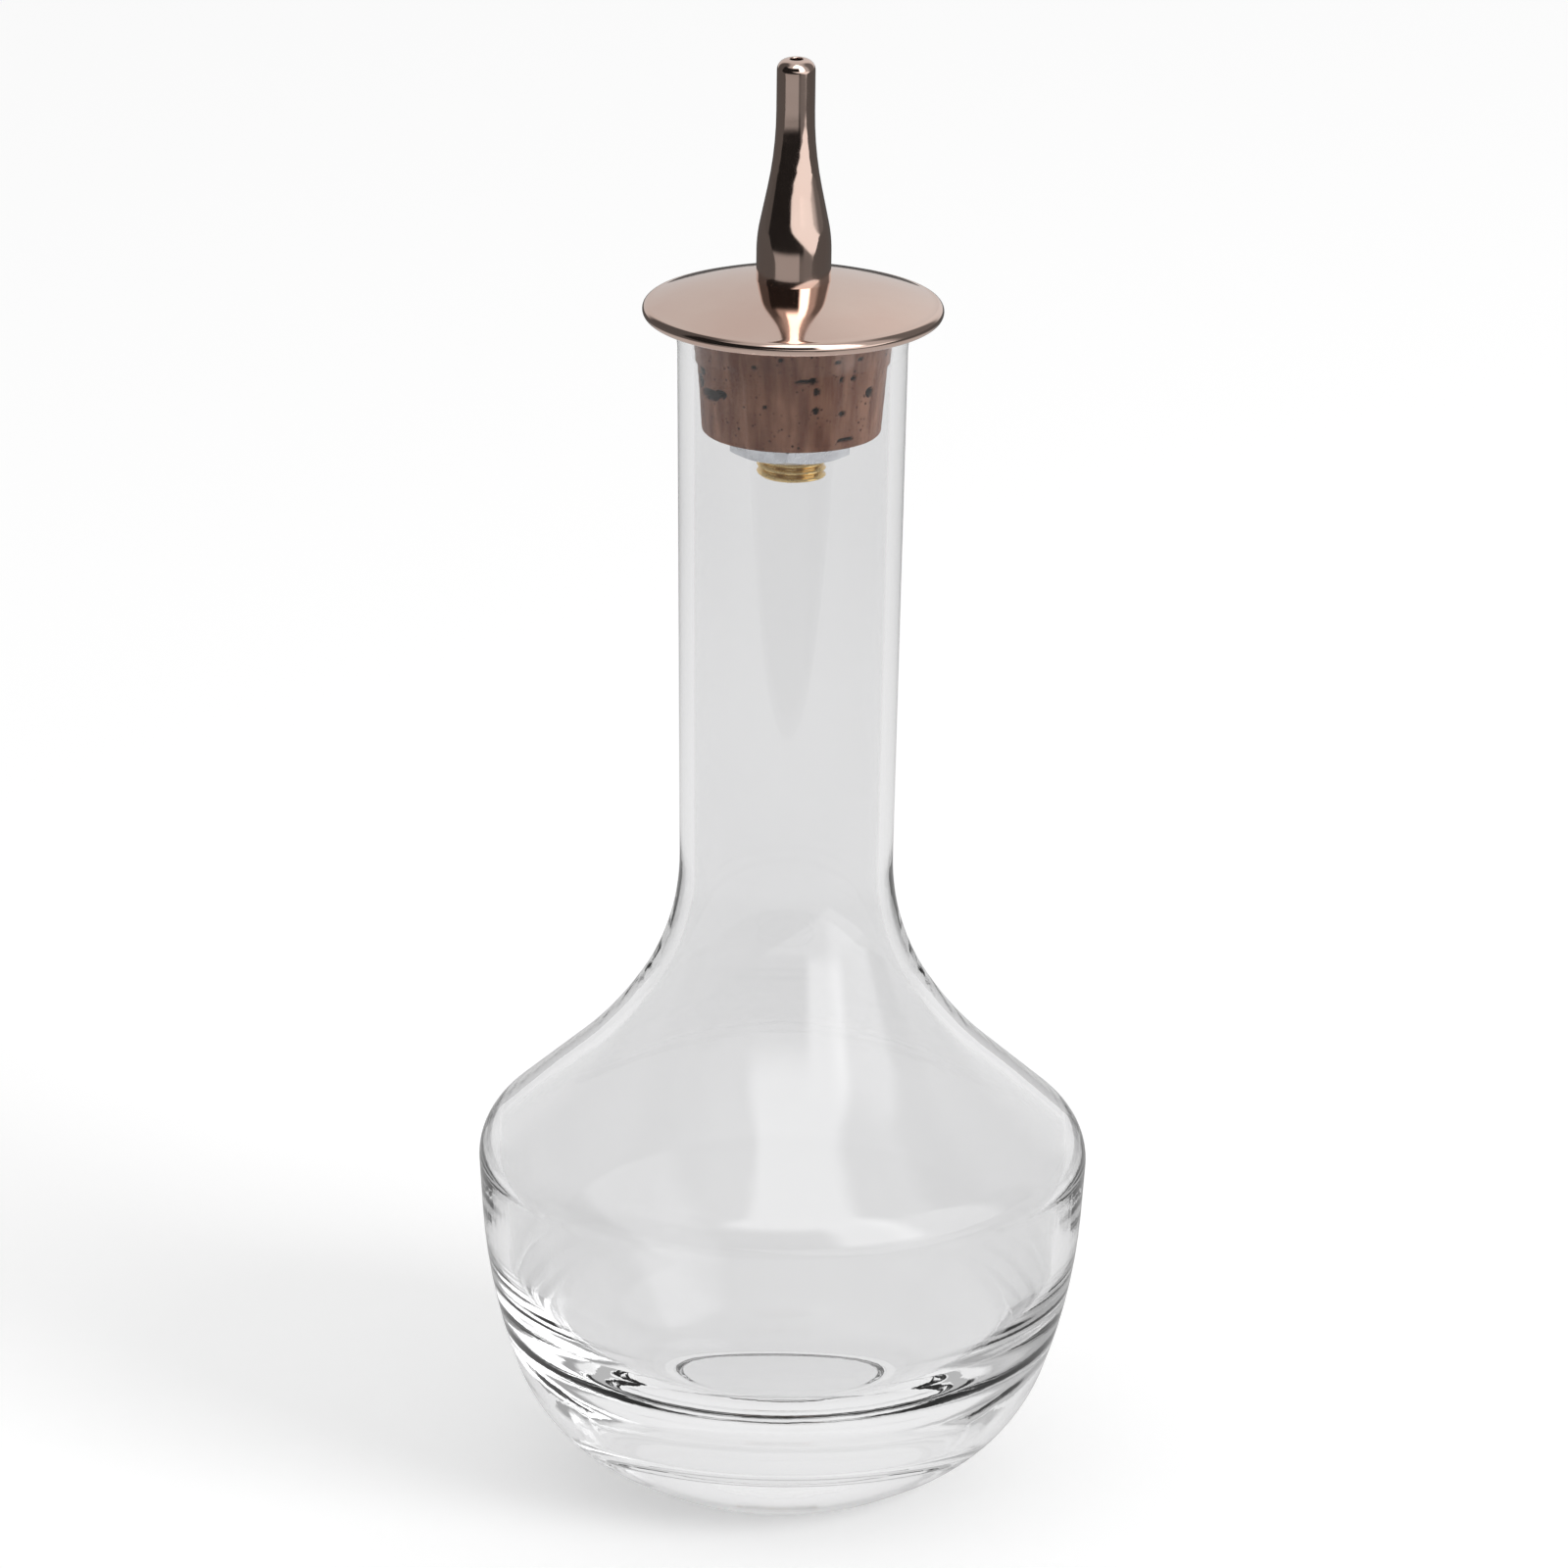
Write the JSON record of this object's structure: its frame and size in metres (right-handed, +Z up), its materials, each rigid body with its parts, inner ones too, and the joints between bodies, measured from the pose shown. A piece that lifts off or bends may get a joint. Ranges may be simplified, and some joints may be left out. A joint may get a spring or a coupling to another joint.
{
  "type": "bitters bottle",
  "caption": "Clear glass bitters bottle with a heavy round base, a long neck and a cork stopper that carries a polished copper disc with a tapered dashing spout.",
  "frame": {"origin": "centre of the bottle's base, on the surface it stands on", "axes": "+Z up along the bottle's axis to the spout's tip; -Y is the side seen in the picture"},
  "size_m": [0.064, 0.064, 0.1543],
  "materials": {
    "glass": "clear, fire polished, heavy base",
    "cork": "natural cork, brown, with dark pits",
    "copper_plate": "polished rose copper plate",
    "brass": "bare brass, turned thread",
    "zinc_plate": "zinc plated, satin"
  },
  "bodies": {
    "glass_body": {"bottle": "glass"},
    "stopper": {"cork": "cork"},
    "pouring_top": {"top_disc": "copper_plate", "spout": "copper_plate", "stem": "brass", "lock_nut": "zinc_plate"}
  },
  "joints": [
    {"name": "stopper_lift", "type": "slide", "parent": "glass_body", "child": "stopper", "axis": [0, 0, 1], "range_m": [0, 0.045]},
    {"name": "top_turn", "type": "hinge", "parent": "stopper", "child": "pouring_top", "pos_m": [0, 0, 0.1271], "axis": [0, 0, 1], "continuous": true}
  ]
}
